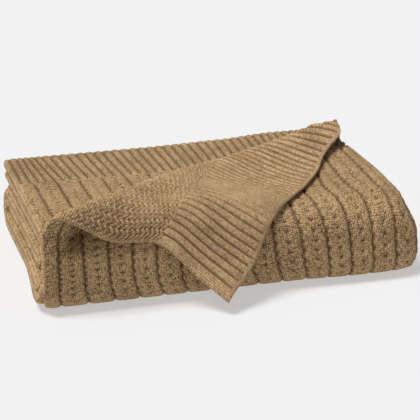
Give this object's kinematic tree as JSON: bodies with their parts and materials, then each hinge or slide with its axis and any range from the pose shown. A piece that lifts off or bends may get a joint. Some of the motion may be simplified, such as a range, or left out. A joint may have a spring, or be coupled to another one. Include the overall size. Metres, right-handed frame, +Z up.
{
  "type": "knit throw blanket",
  "caption": "Folded knit throw blanket with ribbed ends, letter-folded into a flat stack, its top corner turned back over the front edge.",
  "frame": {"origin": "centre of the bounding box in plan, on the surface the stack lies on", "axes": "+X along the folded front from the free selvedge to the fold, +Y from the rolled front to the open back, +Z up"},
  "size_m": [0.4172, 0.3184, 0.1081],
  "materials": {
    "yarn": "matte camel knit yarn"
  },
  "bodies": {
    "root": {"throw": "yarn"}
  },
  "joints": []
}
